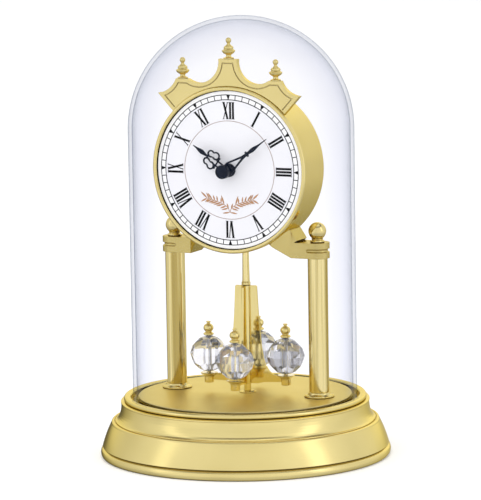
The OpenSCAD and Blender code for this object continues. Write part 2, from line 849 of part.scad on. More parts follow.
// Stem from the drive down to the guide bush
module pendulum_stem() {
    color(brass) translate([0, column_y, 0]) rotate_extrude() polygon([
        [0, 30.2], [1.2, 30.2], [spindle_r, 31.0], [spindle_r, fins_top], [2.1, fins_top],
        [2.35, fins_top + 0.4], [2.35, fins_top + 1.7], [2.05, fins_top + 2.1],
        [1.95, fins_top + 2.4], [1.6, bearing_z - 0.3], [1.2, bearing_z - 0.3],
        [1.2, bearing_z + 4.6], [0, bearing_z + 4.6]]);
}

// Magnet that rests on the bearing and is pushed by the coil
module drive_magnet() {
    color("dimgray") translate([0, column_y, 0]) difference() {
        shaft(3.7, bearing_z + 1.95, bearing_z + 4.2);
        shaft(1.2, bearing_z, bearing_z + 6);
    }
}

fin_t = 1.1;
fin_outline = [[1.5, fins_low], [6, fins_low], [9, 37.4], [arm_end, 37.8], [arm_end, 41.0],
    [14.5, 41.4], [12.3, 43.2], [10.2, 46.2], [9.0, 50], [7.9, 57], [6.6, 74], [5.9, fins_top - 0.6],
    [5.4, fins_top], [1.5, fins_top]];

// Four tapered fins about a tube, flaring into the arms
module pendulum_body() {
    color(brass) on_pendulum() difference() {
        union() {
            shaft(2.5, fins_low, fins_top);
            for (a = [0:90:270]) rotate([0, 0, a]) translate([0, fin_t / 2, 0])
                rotate([90, 0, 0]) linear_extrude(fin_t) polygon(fin_outline);
        }
        shaft(spindle_r + 0.02, fins_low - 1, fins_top + 1);
        for (a = [0:90:270]) rotate([0, 0, a]) translate([arm_r, 0, 0])
            rotate_extrude($fn = 48) crystal_post();
    }
}

// Half outline of a post, its cup and its rod
module crystal_post() {
    polygon([[0, 36.2], [2.2, 36.2], [post_r, 36.5], [post_r, 39.2], [2.9, 40.0], [4.4, 41.0],
        [4.6, 41.4], [4.3, crystal_low], [0.9, crystal_low], [0.9, crystal_top + 2],
        [0, crystal_top + 2]]);
}

// Posts with flared cups, and the rods through the crystals
module crystal_posts() {
    color(brass) at_crystals() rotate_extrude($fn = 48) crystal_post();
}

// Crystal balls, drilled through
module crystal_balls() {
    mid = (crystal_low + crystal_top) / 2;
    color([0.85, 0.9, 0.95, 0.6]) at_crystals() rotate_extrude($fn = 48) polygon([
        [0.95, crystal_low], [3.1, crystal_low], [6.6, crystal_low + 2.6], [8.9, mid - 3.6],
        [crystal_r, mid - 0.9], [crystal_r, mid + 0.9], [8.9, mid + 3.6],
        [6.6, crystal_top - 2.6], [3.1, crystal_top], [0.95, crystal_top]]);
}

// Turned finials screwed on to the rods
module crystal_finials() {
    color(brass) at_crystals() difference() {
        rotate_extrude($fn = 48) polygon(concat(
            [[0, crystal_top], [2.5, crystal_top], [2.75, crystal_top + 0.4], [2.55, crystal_top + 0.9],
             [1.6, crystal_top + 1.4]],
            arc([0, crystal_top + 3.7], 2.65, 2.3, -50, 62, 8),
            [[0.85, crystal_top + 6.0], [0.8, crystal_top + 6.4], [1.25, crystal_top + 6.7],
             [1.2, crystal_top + 7.1], [0, crystal_top + 7.3]]));
        shaft(0.92, crystal_top - 1, crystal_top + 2.2);
    }
}

// ---------------------------------------------------------------- dome

dome_centre = total_h - dome_r;

// Half outline of a round-topped glass from the height low
module dome_half(r, low) {
    intersection() {
        translate([0, dome_centre]) circle(r, $fn = 144);
        translate([0, dome_centre]) square(r + 1);
    }
    translate([0, low]) square([r, dome_centre - low]);
}

// Glass dome, open below, standing in the base's groove
module glass_dome() {
    color([0.85, 0.88, 0.95, 0.25]) rotate_extrude($fn = 144) difference() {
        dome_half(dome_r, groove_z);
        dome_half(dome_r - glass_t, groove_z - 1);
    }
}

base_shell();
base_cover();
felt_pad();
cover_screws();
deck_plate();
guide_bush();
column_left();
column_right();
column_foot_left();
column_foot_right();
tie_rods();
rod_nuts();
bracket_left();
bracket_right();
bracket_screws();
ball_finial_left();
ball_finial_right();
drum_case();
bezel();
dial_plate();
crest_plate();
crest_finial_left();
crest_finial_centre();
crest_finial_right();
crest_screws();
rear_cover();
rear_screws();
movement_front();
movement_rear();
middle_plate();
mounting_nut();
circuit_board();
quartz_can();
stator();
drive_coil();
battery_contacts();
rotor();
intermediate_wheel();
seconds_wheel();
third_wheel();
centre_wheel();
minute_arbor();
minute_wheel();
hour_wheel();
setting_knob();
hour_hand();
minute_hand();
hand_cap();
battery();
pendulum_housing();
pendulum_bearing();
pendulum_coil();
pendulum_stem();
drive_magnet();
pendulum_body();
crystal_posts();
crystal_balls();
crystal_finials();
glass_dome();
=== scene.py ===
"""Looks of an anniversary clock: polished brass, a printed dial, cut crystals and a glass dome,
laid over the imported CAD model. Metres, +Z up, dial facing -Y."""

import json
import math

import bmesh
import bpy
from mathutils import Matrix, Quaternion, Vector


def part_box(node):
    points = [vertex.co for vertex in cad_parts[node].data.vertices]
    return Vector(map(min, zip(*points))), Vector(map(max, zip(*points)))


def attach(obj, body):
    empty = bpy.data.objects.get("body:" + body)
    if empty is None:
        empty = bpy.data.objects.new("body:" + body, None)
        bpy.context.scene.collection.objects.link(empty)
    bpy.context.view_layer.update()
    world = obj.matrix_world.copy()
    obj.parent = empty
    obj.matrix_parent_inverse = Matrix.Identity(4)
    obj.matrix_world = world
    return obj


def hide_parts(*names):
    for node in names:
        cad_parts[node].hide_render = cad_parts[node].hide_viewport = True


MM = 0.001
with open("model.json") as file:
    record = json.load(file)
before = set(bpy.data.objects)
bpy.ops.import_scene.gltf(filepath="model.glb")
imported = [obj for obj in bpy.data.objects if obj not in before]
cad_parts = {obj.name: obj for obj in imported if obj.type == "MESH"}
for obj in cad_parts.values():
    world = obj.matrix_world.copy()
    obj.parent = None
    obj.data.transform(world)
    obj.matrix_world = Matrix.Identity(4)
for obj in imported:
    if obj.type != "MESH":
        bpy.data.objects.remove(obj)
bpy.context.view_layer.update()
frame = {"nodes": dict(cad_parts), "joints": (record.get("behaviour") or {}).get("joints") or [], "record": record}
nodes = frame["nodes"]


# ---------------------------------------------------------------- places, from the frame

def middle(node):
    lo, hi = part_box(node)
    return (lo + hi) / 2


def size(node):
    lo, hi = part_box(node)
    return hi - lo


JOINTS = {j["name"]: j for j in frame["joints"]}
DIAL_C = Vector(JOINTS["minute_turn"]["pos_m"])
DIAL_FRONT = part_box("dial_plate")[0].y
DIAL_VIEW_R = size("dial_plate").x / 2 - 0.5 * MM  # what the bezel leaves in view
AXIS_Y = JOINTS["pendulum_turn"]["pos_m"][1]
CRYSTAL_R = 9.5 * MM
CRYSTAL_H = size("crystal_balls").z
CRYSTAL_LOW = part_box("crystal_balls")[0].z
REST_TURN = math.radians(7.5)  # how far the pendulum stands turned at rest
ARM_R = (size("crystal_balls").x / 2 - CRYSTAL_R) / math.cos(REST_TURN)

# Radii on the dial, in millimetres: the minute track, the numerals and the inner circle
TRACK_OUT, TRACK_IN = 38.8, 36.3
NUMERAL_TOP, NUMERAL_LOW = 35.1, 26.3
INNER_CIRCLE = 25.4
FINE_WIDTH = 0.26  # of the inner circle's line


# ---------------------------------------------------------------- material building blocks

class Nodes:
    """A short way to build one material's node tree."""

    def __init__(self, name):
        self.material = bpy.data.materials.new(name)
        self.material.use_nodes = True
        self.tree = self.material.node_tree
        self.tree.nodes.clear()
        self.out = self.add("ShaderNodeOutputMaterial")
        self.coords = self.add("ShaderNodeTexCoord").outputs["Object"]

    def add(self, kind, **values):
        node = self.tree.nodes.new(kind)
        for key, value in values.items():
            setattr(node, key, value)
        return node

    def link(self, a, b):
        self.tree.links.new(a, b)

    def principled(self, color, metallic=0.0, roughness=0.5, **sockets):
        shader = self.add("ShaderNodeBsdfPrincipled")
        shader.inputs["Base Color"].default_value = (*color, 1)
        shader.inputs["Metallic"].default_value = metallic
        shader.inputs["Roughness"].default_value = roughness
        for key, value in sockets.items():
            shader.inputs[key.replace("_", " ")].default_value = value
        self.link(shader.outputs[0], self.out.inputs["Surface"])
        return shader

    def noise(self, scale, detail=3.0, stretch=(1, 1, 1), roughness=0.5):
        """Noise in object space; scale is in features per metre."""
        mapping = self.add("ShaderNodeMapping")
        mapping.inputs["Scale"].default_value = stretch
        self.link(self.coords, mapping.inputs["Vector"])
        noise = self.add("ShaderNodeTexNoise")
        noise.inputs["Scale"].default_value = scale
        noise.inputs["Detail"].default_value = detail
        noise.inputs["Roughness"].default_value = roughness
        self.link(mapping.outputs[0], noise.inputs["Vector"])
        return noise.outputs["Fac"]

    def ramp(self, value, low, high, from_min=0.3, from_max=0.7):
        """Maps a value to the range low to high."""
        span = self.add("ShaderNodeMapRange")
        for key, number in (("From Min", from_min), ("From Max", from_max),
                            ("To Min", low), ("To Max", high)):
            span.inputs[key].default_value = number
        self.link(value, span.inputs["Value"])
        return span.outputs["Result"]

    def mix(self, factor, a, b):
        """A colour between a and b."""
        mixer = self.add("ShaderNodeMix", data_type="RGBA")
        mixer.inputs[6].default_value = (*a, 1)
        mixer.inputs[7].default_value = (*b, 1)
        self.link(factor, mixer.inputs[0])
        return mixer.outputs[2]

    def bump(self, shader, height, strength, distance):
        bump = self.add("ShaderNodeBump")
        bump.inputs["Strength"].default_value = strength
        bump.inputs["Distance"].default_value = distance
        self.link(height, bump.inputs["Height"])
        self.link(bump.outputs[0], shader.inputs["Normal"])
        return bump


BRASS_LIGHT, BRASS_DARK = (0.82, 0.685, 0.30), (0.785, 0.65, 0.272)
BRASS_MEAN = (0.80, 0.665, 0.285)
EDGE_TINT = (0.90, 0.79, 0.42, 1)  # brass seen at a grazing angle
# dark brown of the painted shade in grooves and against neighbouring pieces
CREVICE_SHADE_BROWN = (0.20, 0.14, 0.035)
BLACK, WHITE = (0, 0, 0), (1, 1, 1)
EDGE_RADIUS = 0.25 * MM  # how far sharp brass edges are rounded
CREVICE_REACH = 1.1 * MM


def paint_crevice_shade(n, shader, tone):
    """Painted shade: darkens the colour towards a dark brown in grooves and against neighbouring pieces, where
    ambient occlusion finds little open room.
    """
    shade = n.add("ShaderNodeAmbientOcclusion", samples=8)
    shade.inputs["Distance"].default_value = CREVICE_REACH
    mixer = n.mix(n.ramp(shade.outputs["AO"], 0, 1, 0.34, 0.72), CREVICE_SHADE_BROWN, WHITE)
    n.link(tone, mixer.node.inputs[7])
    n.link(mixer, shader.inputs["Base Color"])


def brass(name, low, high, ripple=0.05, light=BRASS_LIGHT, dark=BRASS_DARK):
    """Lacquered brass: faint handling marks, a slow ripple and fine rounding at its edges."""
    n = Nodes(name)
    shader = n.principled(light, metallic=1.0, Specular_Tint=EDGE_TINT)
    # painted shade in grooves and at joints darkens the handling-mark tone
    paint_crevice_shade(n, shader, n.mix(n.ramp(n.noise(45, 4), 0, 1), dark, light))
    n.link(n.ramp(n.noise(130, 5), low, high), shader.inputs["Roughness"])
    bump = n.bump(shader, n.noise(60, 2), ripple, 0.0006)
    edge = n.add("ShaderNodeBevel", samples=4)
    edge.inputs["Radius"].default_value = EDGE_RADIUS
    n.link(edge.outputs[0], bump.inputs["Normal"])
    return n.material


def drawn_brass():
    """Tube brass with long stripes: in its bump the grain that drawing and polishing leave, in its colour painted
    reflections, dark olive to bright brass.
    """
    n = Nodes("drawn_brass")
    shader = n.principled(BRASS_MEAN, metallic=1.0, Specular_Tint=EDGE_TINT)
    grain_and_reflection_stripes = n.noise(420, 2.0, (1, 1, 0.012), 0.55)
    # painted reflections: the colour runs from dark olive to bright brass across the stripes
    tone = n.mix(n.ramp(grain_and_reflection_stripes, 0, 1, 0.38, 0.60), (0.50, 0.385, 0.12), (0.88, 0.745, 0.35))
    # painted shade in grooves and at joints darkens the stripe tone
    paint_crevice_shade(n, shader, tone)
    n.link(n.ramp(n.noise(200, 4, (1, 1, 0.1)), 0.07, 0.14), shader.inputs["Roughness"])
    n.bump(shader, grain_and_reflection_stripes, 0.12, 0.0003)
    return n.material


def enamel():
    """White dial enamel, purer white from the minute track outwards."""
    n = Nodes("dial_enamel")
    shader = n.principled((0.8, 0.8, 0.84), roughness=0.42, Specular_IOR_Level=0.35)
    flat = n.add("ShaderNodeVectorMath", operation="MULTIPLY")
    flat.inputs[1].default_value = (1, 0, 1)
    n.link(n.coords, flat.inputs[0])
    reach = n.add("ShaderNodeVectorMath", operation="DISTANCE")
    reach.inputs[1].default_value = (DIAL_C.x, 0, DIAL_C.z)
    n.link(flat.outputs[0], reach.inputs[0])
    edge = n.ramp(reach.outputs["Value"], 0, 1, TRACK_IN * MM, (TRACK_IN + 0.3) * MM)
    field = n.mix(n.ramp(n.noise(300, 5), 0, 1), (0.812, 0.812, 0.836), (0.826, 0.826, 0.85))
    tone = n.mix(edge, BLACK, (0.93, 0.93, 0.93))
    n.link(field, tone.node.inputs[6])
    n.link(tone, shader.inputs["Base Color"])
    n.link(n.ramp(n.noise(900, 4), 0.38, 0.5), shader.inputs["Roughness"])
    n.bump(shader, n.noise(1400, 3), 0.05, 0.0001)
    return n.material


def ink(name, color):
    """Printed ink with a slightly uneven film."""
    n = Nodes(name)
    shader = n.principled(color, roughness=0.45, Specular_IOR_Level=0.12)
    darker = tuple(0.75 * c for c in color)
    n.link(n.mix(n.ramp(n.noise(1500, 4), 0, 1), darker, color), shader.inputs["Base Color"])
    n.link(n.ramp(n.noise(2500, 3), 0.4, 0.6), shader.inputs["Roughness"])
    n.bump(shader, n.noise(3000, 2), 0.1, 0.00005)
    return n.material


def painted_steel():
    """Dark blue paint on the stamped hands."""
    n = Nodes("hand_paint")
    shader = n.principled((0.003, 0.007, 0.018), roughness=0.3, Specular_IOR_Level=0.16)
    tone = n.mix(n.ramp(n.noise(500, 4), 0, 1), (0.002, 0.005, 0.013), (0.005, 0.010, 0.024))
    n.link(tone, shader.inputs["Base Color"])
    n.link(n.ramp(n.noise(1200, 4), 0.24, 0.42), shader.inputs["Roughness"])
    n.bump(shader, n.noise(1800, 2), 0.08, 0.00008)
    return n.material


def post_metal():
    """Brass cups below, bright steel where the rod runs through a crystal."""
    n = Nodes("post_metal")
    shader = n.principled(BRASS_MEAN, metallic=1.0)
    height = n.add("ShaderNodeSeparateXYZ")
    n.link(n.coords, height.inputs[0])
    steel = n.ramp(height.outputs["Z"], 0, 1, CRYSTAL_LOW + 0.4 * MM, CRYSTAL_LOW + 0.6 * MM)
    brassy = n.mix(n.ramp(n.noise(160, 4), 0, 1), (0.78, 0.64, 0.27), BRASS_LIGHT)
    tone = n.mix(steel, BLACK, (0.72, 0.73, 0.76))
    n.link(brassy, tone.node.inputs[6])
    n.link(tone, shader.inputs["Base Color"])
    n.link(n.ramp(n.noise(400, 4), 0.08, 0.18), shader.inputs["Roughness"])
    n.bump(shader, n.noise(900, 2), 0.05, 0.00005)
    return n.material


def grained_metal(name, light, dark, stretch=(1, 1, 14)):
    """Brushed or rolled metal with grain along one direction."""
    n = Nodes(name)
    shader = n.principled(light, metallic=1.0)
    grain = n.noise(420, 5, stretch)
    n.link(n.mix(n.ramp(grain, 0, 1), dark, light), shader.inputs["Base Color"])
    n.link(n.ramp(grain, 0.22, 0.42), shader.inputs["Roughness"])
    n.bump(shader, grain, 0.12, 0.00008)
    return n.material


def moulded(name, color, lift=1.35):
    """Fine-textured moulded plastic."""
    n = Nodes(name)
    shader = n.principled(color, roughness=0.5)
    lighter = tuple(min(1.0, lift * c) for c in color)
    n.link(n.mix(n.ramp(n.noise(250, 4), 0, 1), color, lighter), shader.inputs["Base Color"])
    n.link(n.ramp(n.noise(700, 4), 0.42, 0.62), shader.inputs["Roughness"])
    n.bump(shader, n.noise(2600, 3), 0.2, 0.0001)
    return n.material


def felt():
    """Green felt with matted fibres."""
    n = Nodes("felt_cloth")
    shader = n.principled((0.02, 0.075, 0.045), roughness=0.95, Sheen_Weight=0.5)
    fibre = n.noise(1800, 6, (1, 3, 1), 0.7)
    n.link(n.mix(n.ramp(fibre, 0, 1), (0.012, 0.05, 0.03), (0.035, 0.11, 0.065)),
           shader.inputs["Base Color"])
    n.bump(shader, fibre, 0.8, 0.0006)
    return n.material


def wound_wire():
    """Enamelled copper wire wound in fine turns."""
    n = Nodes("wound_wire")
    shader = n.principled((0.55, 0.22, 0.08), metallic=0.8, roughness=0.35)
    wave = n.add("ShaderNodeTexWave", bands_direction="Z")
    wave.inputs["Scale"].default_value = 900
    n.link(n.coords, wave.inputs["Vector"])
    n.link(n.mix(wave.outputs["Fac"], (0.32, 0.11, 0.04), (0.68, 0.3, 0.12)),
           shader.inputs["Base Color"])
    n.bump(shader, wave.outputs["Fac"], 0.5, 0.0002)
    return n.material


def lets_light_in(n, shader, tint):
    """Lamps shine through this glass, as through a thin clear wall."""
    clear = n.add("ShaderNodeBsdfTransparent")
    clear.inputs["Color"].default_value = (*tint, 1)
    ray = n.add("ShaderNodeLightPath")
    mixer = n.add("ShaderNodeMixShader")
    n.link(ray.outputs["Is Shadow Ray"], mixer.inputs[0])
    n.link(shader.outputs[0], mixer.inputs[1])
    n.link(clear.outputs[0], mixer.inputs[2])
    n.link(mixer.outputs[0], n.out.inputs["Surface"])


# What the dome's glass lets through, from face on (0) to edge on (1)
GLASS_TINTS = (
    (0.00, (0.990, 0.990, 0.996, 1)), (0.25, (0.984, 0.984, 0.994, 1)),
    (0.50, (0.952, 0.954, 0.974, 1)), (0.84, (0.905, 0.914, 0.948, 1)),
    (0.95, (0.70, 0.73, 0.80, 1)), (1.00, (0.20, 0.23, 0.33, 1)),
)


def dome_glass():
    """Blown glass: clear face on, a grey-blue line where the wall is seen edge on."""
    n = Nodes("dome_glass_clear")
    edge = n.add("ShaderNodeLayerWeight")
    edge.inputs["Blend"].default_value = 0.5
    tint = n.add("ShaderNodeValToRGB")
    stops = tint.color_ramp.elements
    stops[0].position, stops[0].color = GLASS_TINTS[0]
    stops[1].position, stops[1].color = GLASS_TINTS[-1]
    for place, color in GLASS_TINTS[1:-1]:
        stops.new(place).color = color
    n.link(edge.outputs["Facing"], tint.inputs["Fac"])
    clear = n.add("ShaderNodeBsdfTransparent")
    n.link(tint.outputs["Color"], clear.inputs["Color"])
    gloss = n.add("ShaderNodeBsdfGlossy")
    n.link(n.ramp(n.noise(25, 3), 0.01, 0.05), gloss.inputs["Roughness"])
    mixer = n.add("ShaderNodeMixShader")
    n.link(n.ramp(edge.outputs["Facing"], 0.003, 0.24, 0.60, 1.0), mixer.inputs[0])
    n.link(clear.outputs[0], mixer.inputs[1])
    n.link(gloss.outputs[0], mixer.inputs[2])
    n.link(mixer.outputs[0], n.out.inputs["Surface"])
    ripple = n.add("ShaderNodeBump")
    ripple.inputs["Strength"].default_value = 0.05
    ripple.inputs["Distance"].default_value = 0.0004
    n.link(n.noise(12, 2), ripple.inputs["Height"])
    n.link(ripple.outputs[0], gloss.inputs["Normal"])
    return n.material


CRYSTAL_CLEAR, CRYSTAL_REFLECTION_GREY = (0.97, 0.97, 1.0), (0.36, 0.37, 0.41)


def cut_crystal():
    """Lead crystal: clear, with each facet tinted at random from clear to grey, a painted reflection of the dark
    and bright room in the cut faces.
    """
    n = Nodes("cut_crystal")
    shader = n.principled(CRYSTAL_CLEAR, roughness=0.0, Transmission_Weight=0.90, IOR=1.56)
    facet = n.add("ShaderNodeTexNoise")
    facet.inputs["Scale"].default_value = 4.5
    n.link(n.coords.node.outputs["Normal"], facet.inputs["Vector"])
    # painted reflections: each facet's tint, clear to grey, stands for the room seen in it
    tone = n.mix(n.ramp(facet.outputs["Fac"], 0, 1, 0.42, 0.48), CRYSTAL_REFLECTION_GREY, CRYSTAL_CLEAR)
    n.link(tone, shader.inputs["Base Color"])
    n.link(n.ramp(n.noise(300, 3), 0.0, 0.02), shader.inputs["Roughness"])
    lets_light_in(n, shader, (0.92, 0.93, 0.96))
    return n.material


BRASS = brass("satin_brass", 0.17, 0.23)
BRIGHT_BRASS = brass("polished_brass", 0.05, 0.10, 0.03)
SPUN_BRASS = brass("spun_brass", 0.36, 0.44, 0.05, (0.86, 0.725, 0.335), (0.825, 0.69, 0.305))
CAST_BRASS = brass("cast_brass", 0.20, 0.28, 0.07, (0.645, 0.525, 0.20), (0.57, 0.46, 0.165))
DRAWN_BRASS = drawn_brass()
ENAMEL = enamel()
BLACK_INK = ink("black_ink", (0.006, 0.006, 0.007))
COPPER_INK = ink("copper_ink", (0.50, 0.265, 0.13))
FINE_INK = ink("brown_line_ink", (0.36, 0.24, 0.19))
HAND_PAINT = painted_steel()
STEEL = grained_metal("plain_steel", (0.60, 0.61, 0.63), (0.42, 0.43, 0.45))
SINTERED = grained_metal("sintered_magnet", (0.20, 0.20, 0.21), (0.10, 0.10, 0.11), (1, 1, 1))
BLACK_PLASTIC = moulded("black_plastic", (0.018, 0.018, 0.02))
CREAM_PLASTIC = moulded("cream_plastic", (0.62, 0.60, 0.52), 1.12)
BEARING_PLASTIC = moulded("bearing_plastic", (0.55, 0.38, 0.10), 1.15)
BOARD = moulded("board_lacquer", (0.01, 0.13, 0.04), 1.6)
CELL_SLEEVE = moulded("cell_sleeve", (0.50, 0.17, 0.02), 1.2)
FELT = felt()
WIRE = wound_wire()
DOME_GLASS = dome_glass()
CRYSTAL_POST = post_metal()
CRYSTAL = cut_crystal()

SLOT_MATERIALS = {
    "brass": BRASS, "dial": ENAMEL, "hands": HAND_PAINT, "steel": STEEL,
    "plastic_dark": BLACK_PLASTIC, "wheel_plastic": CREAM_PLASTIC, "bearing": BEARING_PLASTIC,
    "felt": FELT, "board": BOARD, "copper": WIRE, "magnet": SINTERED,
    "battery_jacket": CELL_SLEEVE, "crystal": CRYSTAL, "dome_glass": DOME_GLASS,
}


# ---------------------------------------------------------------- CAD nodes that stay

def dress(node, material):
    """Gives a CAD node its finish."""
    piece = nodes[node]
    for place in piece.material_slots:
        place.material = material
    if not piece.material_slots:
        piece.data.materials.append(material)


# Brass nodes with a mirror polish, by the start of their names
POLISHED = ("column", "ball_finial", "crest_finial", "crystal_finials", "bezel",
            "pendulum_body", "mounting_nut")

OWN_FINISH = {
    "column_left": DRAWN_BRASS, "column_right": DRAWN_BRASS, "pendulum_stem": DRAWN_BRASS,
    "bracket_left": CAST_BRASS, "bracket_right": CAST_BRASS, "deck_plate": SPUN_BRASS,
    "crystal_posts": CRYSTAL_POST,
}

for part in frame["record"]["subparts"]:
    finish = SLOT_MATERIALS[part["material_slot"]]
    if finish is BRASS and part["node"].startswith(POLISHED):
        finish = BRIGHT_BRASS
    dress(part["node"], OWN_FINISH.get(part["node"], finish))


# ---------------------------------------------------------------- mesh helpers

def piece_from(name, verts, faces, material, body, smooth=False):
    """A mesh piece that rides on a body."""
    mesh = bpy.data.meshes.new(name)
    mesh.from_pydata([tuple(v) for v in verts], [], faces)
    mesh.validate()
    mesh.materials.append(material)
    for face in mesh.polygons:
        face.use_smooth = smooth
    obj = bpy.data.objects.new(name, mesh)
    bpy.context.scene.collection.objects.link(obj)
    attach(obj, body)
    return obj


def lathe(profile, steps):
    """Vertices and faces of a closed outline of (radius, height), turned about +Z."""
    verts, faces = [], []
    count = len(profile)
    for k in range(steps):
        a = 2 * math.pi * k / steps
        verts += [(r * math.cos(a), r * math.sin(a), z) for r, z in profile]
    for k in range(steps):
        here, there = k * count, (k + 1) % steps * count
        for i in range(count):
            j = (i + 1) % count
            faces.append((here + i, here + j, there + j, there + i))
    return verts, faces


# ---------------------------------------------------------------- the glass dome

DOME_WALL = 2.0 * MM
DOME_STEPS = 160  # around the dome
ARC_STEPS = 40  # from its top to its straight wall
WALL_STEPS = 12
POLE_R = 0.01 * MM  # keeps the quads at the top from closing to a point


def build_dome():
    """A double-walled shell with a fire-rounded rim."""
    lo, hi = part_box("glass_dome")
    outer = (hi.x - lo.x) / 2
    inner = outer - DOME_WALL
    centre = hi.z - outer
    half = DOME_WALL / 2
    rim_top = lo.z + DOME_WALL

    def arc(radius):
        """The dome's round top, from the pole down."""
        turns = (math.pi / 2 * k / ARC_STEPS for k in range(1, ARC_STEPS))
        points = [(radius * math.sin(t), centre + radius * math.cos(t)) for t in turns]
        return [(POLE_R, centre + radius)] + points

    rim = [(outer - half - half * math.cos(math.radians(t)),
            lo.z + half - half * math.sin(math.radians(t))) for t in range(0, 181, 30)]
    inside = [(inner, rim_top + (centre - rim_top) * k / WALL_STEPS)
              for k in range(WALL_STEPS, 0, -1)]
    outside = [(outer, z) for _, z in reversed(inside)]
    profile = arc(inner) + inside + rim + outside + arc(outer)[::-1]
    verts, faces = lathe(profile, DOME_STEPS)
    dome = piece_from("dome", verts, faces, DOME_GLASS, "dome", smooth=True)
    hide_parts("glass_dome")


build_dome()


# ---------------------------------------------------------------- crystals

# Rows of facets, each cut above and below: lift in degrees, offset in facets and distance from
# the bead's centre as a share of its radius
FACETS = 8
FACET_ROWS = ((16, 0.0, 0.935), (44, 0.5, 0.945), (69, 0.0, 0.985))
BEAD_HOLE_R = 0.95 * MM
BLANK = 40 * MM  # the cube that a bead is cut from
SLIVER = 0.002 * MM  # edges shorter than this are closed up


def cut_bead():
    """One bead, cut by planes: flat ends and three rows of facets above and below."""
    bm = bmesh.new()
    bmesh.ops.create_cube(bm, size=BLANK)
    planes = [(Vector((0, 0, s)), CRYSTAL_H / 2) for s in (1, -1)]
    for lift, offset, reach in FACET_ROWS:
        e = math.radians(lift)
        for k in range(FACETS):
            a = 2 * math.pi * (k + offset) / FACETS
            for s in (1, -1):
                normal = Vector((math.cos(a) * math.cos(e), math.sin(a) * math.cos(e),
                                 s * math.sin(e)))
                planes.append((normal, reach * CRYSTAL_R))
    for normal, reach in planes:
        cut = bmesh.ops.bisect_plane(bm, geom=bm.verts[:] + bm.edges[:] + bm.faces[:],
                                     plane_co=normal * reach, plane_no=normal,
                                     clear_outer=True)
        edges = [g for g in cut["geom_cut"] if isinstance(g, bmesh.types.BMEdge)]
        if len(edges) > 2:
            bmesh.ops.contextual_create(bm, geom=edges)
    bmesh.ops.dissolve_degenerate(bm, dist=SLIVER, edges=bm.edges[:])
    mesh = bpy.data.meshes.new("bead")
    bm.to_mesh(mesh)
    bm.free()
    return mesh


def drill(obj, radius, length):
    """Cuts a straight hole along +Z through a piece."""
    bm = bmesh.new()
    bmesh.ops.create_cone(bm, cap_ends=True, segments=32, radius1=radius, radius2=radius,
                          depth=length)
    mesh = bpy.data.meshes.new("drill")
    bm.to_mesh(mesh)
    bm.free()
    tool = bpy.data.objects.new("drill", mesh)
    bpy.context.scene.collection.objects.link(tool)
    cut = obj.modifiers.new("hole", "BOOLEAN")
    cut.object = tool
    cut.operation = "DIFFERENCE"
    cut.solver = "EXACT"
    graph = bpy.context.evaluated_depsgraph_get()
    done = bpy.data.meshes.new_from_object(obj.evaluated_get(graph))
    obj.modifiers.clear()
    obj.data = done
    bpy.data.objects.remove(tool)


def build_crystals():
    """Four beads that share one drilled mesh, each turned a little on its post."""
    mesh = cut_bead()
    mesh.materials.append(CRYSTAL)
    middle_z = middle("crystal_balls").z
    for k, name in enumerate(("right", "back", "left", "front")):
        bead = bpy.data.objects.new(f"crystal_{name}", mesh)
        bpy.context.scene.collection.objects.link(bead)
        if k == 0:
            drill(bead, BEAD_HOLE_R, 1.5 * BLANK)
            mesh = bead.data
        a = REST_TURN + math.pi / 2 * k
        bead.location = (ARM_R * math.cos(a), AXIS_Y + ARM_R * math.sin(a), middle_z)
        bead.rotation_euler = (0, 0, a + 0.25 * k)
        bpy.context.view_layer.update()
        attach(bead, "pendulum")
        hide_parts("crystal_balls")


build_crystals()


# ---------------------------------------------------------------- dial print

# Heights of the printed film's front and back over the enamel. Shapes that cross lie on
# separate layers.
PRINT_FRONT, PRINT_BACK = 0.06 * MM, 0.01 * MM
LAYER, LAYERS = 0.006 * MM, 5


def on_dial(u, v, lift):
    """A point over the dial: u to the right, v up, from its centre."""
    return (DIAL_C.x + u, DIAL_FRONT - lift, DIAL_C.z + v)


def print_piece(name, polygons, material):
    """Flat closed shapes on the dial, each a list of (u, v) in millimetres, with a film's depth."""
    verts, faces = [], []
    for k, shape in enumerate(polygons):
        start, count = len(verts), len(shape)
        lift = PRINT_FRONT + LAYER * (k % LAYERS)
        area = sum(a[0] * b[1] - b[0] * a[1] for a, b in zip(shape, shape[1:] + shape[:1]))
        points = shape if area > 0 else shape[::-1]
        verts += [on_dial(u * MM, v * MM, lift) for u, v in points]
        verts += [on_dial(u * MM, v * MM, PRINT_BACK) for u, v in points]
        faces.append(tuple(start + i for i in range(count)))
        faces.append(tuple(start + count + i for i in reversed(range(count))))
        for i in range(count):
            j = (i + 1) % count
            faces.append((start + i, start + count + i, start + count + j, start + j))
    return piece_from(name, verts, faces, material, "clock")


def ring(radius, width, steps=144):
    """A printed circle, as quads; widths are in millimetres too."""
    shapes = []
    for k in range(steps):
        a, b = (2 * math.pi * (k + e) / steps for e in (0, 1))
        shapes.append([((radius + s) * math.sin(t), (radius + s) * math.cos(t))
                       for t, s in ((a, -width / 2), (a, width / 2), (b, width / 2),
                                    (b, -width / 2))])
    return shapes


CIRCLE_WIDTH = 0.42  # of the minute track's circles and of the painted shadow line along the bezel


def turned(shape, angle):
    """A shape turned clockwise about the dial's centre, in degrees."""
    a = math.radians(angle)
    c, s = math.cos(a), math.sin(a)
    return [(u * c + v * s, -u * s + v * c) for u, v in shape]


def minute_track():
    """Two circles, with a line between them at each minute and a wedge at every fifth."""
    line = [(-0.2, TRACK_IN), (0.2, TRACK_IN), (0.2, TRACK_OUT), (-0.2, TRACK_OUT)]
    wedge = [(-1.05, TRACK_OUT), (1.05, TRACK_OUT), (0.12, TRACK_IN), (-0.12, TRACK_IN)]
    shapes = ring(TRACK_OUT, CIRCLE_WIDTH) + ring(TRACK_IN, CIRCLE_WIDTH)
    for minute in range(60):
        shapes.append(turned(line if minute % 5 else wedge, 6 * minute))
    return shapes


SERIF = 0.22  # thickness of a serif


